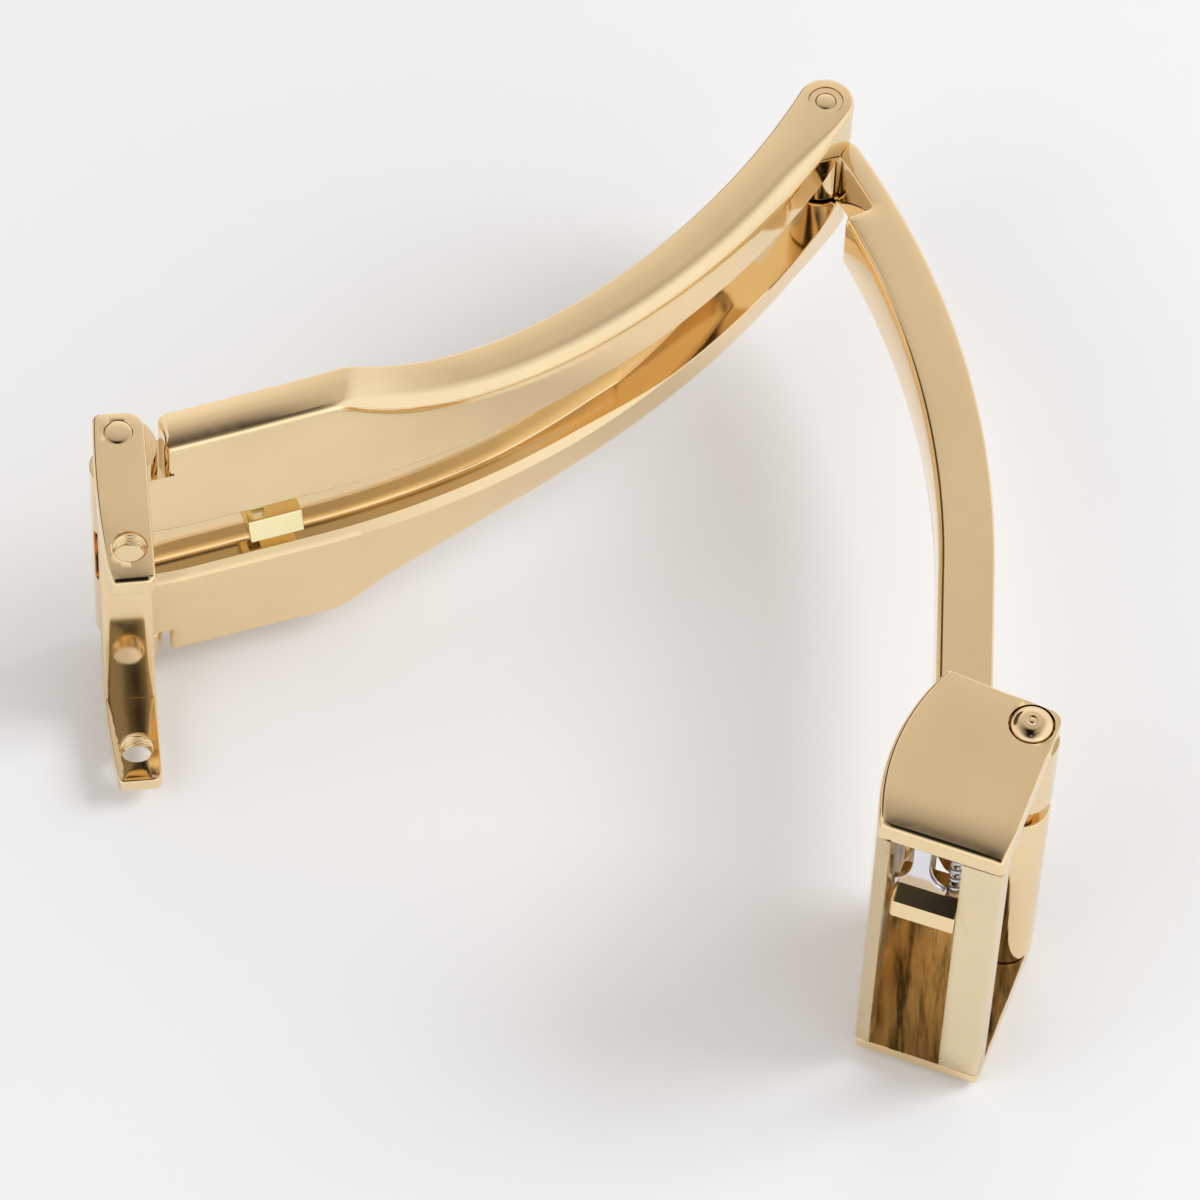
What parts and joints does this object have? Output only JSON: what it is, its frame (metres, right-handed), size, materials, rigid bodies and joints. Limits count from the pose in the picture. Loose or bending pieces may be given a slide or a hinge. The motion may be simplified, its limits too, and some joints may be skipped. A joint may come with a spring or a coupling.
{
  "type": "folding clasp",
  "caption": "Deployant folding clasp: wide forked blade with a swinging end link, curved narrow blade and a hinged box cover with a windowed end and a sprung latch.",
  "frame": {"origin": "bottom centre of the opened clasp's bounding box, on the surface it stands on", "axes": "+Z along every hinge pin, from the far side of the clasp to the near side with the latch; +Y from the cover towards the fold hinge; +X from the end link towards the cover"},
  "size_m": [0.04, 0.0428, 0.0175],
  "materials": {
    "polished_gold": "mirror polished pale yellow gold",
    "frame_gold": "fine satin pale yellow gold with light wear",
    "pin_gold": "polished pale yellow gold, turned ends",
    "steel": "drawn spring steel wire",
    "polished_steel": "polished steel"
  },
  "bodies": {
    "wide_blade_body": {"wide_blade": "polished_gold", "catch_block": "polished_gold", "fold_bush": "polished_gold", "fold_pin": "pin_gold"},
    "end_link_body": {"near_link_plate": "polished_gold", "far_link_plate": "polished_gold", "link_bridge": "polished_gold", "near_boss": "polished_gold", "far_boss": "polished_gold", "link_pin": "pin_gold"},
    "narrow_blade_body": {"narrow_blade": "polished_gold"},
    "cover_body": {"near_cheek": "polished_gold", "far_cheek": "polished_gold", "outer_wall": "polished_gold", "end_frame": "frame_gold", "inner_rail": "frame_gold", "near_knuckle": "polished_gold", "cover_pin": "pin_gold", "spring_post": "steel", "latch_spring": "steel"},
    "latch_body": {"latch_tongue": "polished_steel", "latch_bar": "polished_gold"}
  },
  "joints": [
    {"name": "link_swing", "type": "hinge", "parent": "wide_blade_body", "child": "end_link_body", "pos_m": [-0.01875, -0.00208, 0.0086], "axis": [0, 0, 1], "range_deg": [-100, 18]},
    {"name": "blade_fold", "type": "hinge", "parent": "wide_blade_body", "child": "narrow_blade_body", "pos_m": [0.00994, 0.02015, 0.0086], "axis": [0, 0, 1], "range_deg": [-54, 0]},
    {"name": "cover_swing", "type": "hinge", "parent": "narrow_blade_body", "child": "cover_body", "pos_m": [0.0188, -0.01469, 0.0086], "axis": [0, 0, 1], "range_deg": [0, 195]},
    {"name": "latch_slide", "type": "slide", "parent": "cover_body", "child": "latch_body", "axis": [0, 0, 1], "range_m": [0, 0.0005], "stiffness_N_per_m": 150, "springref_m": -0.0003, "deforming": ["latch_spring"]}
  ],
  "couplings": [
    {"joint": "cover_swing", "follows": "blade_fold", "ratio": -3.6}
  ]
}
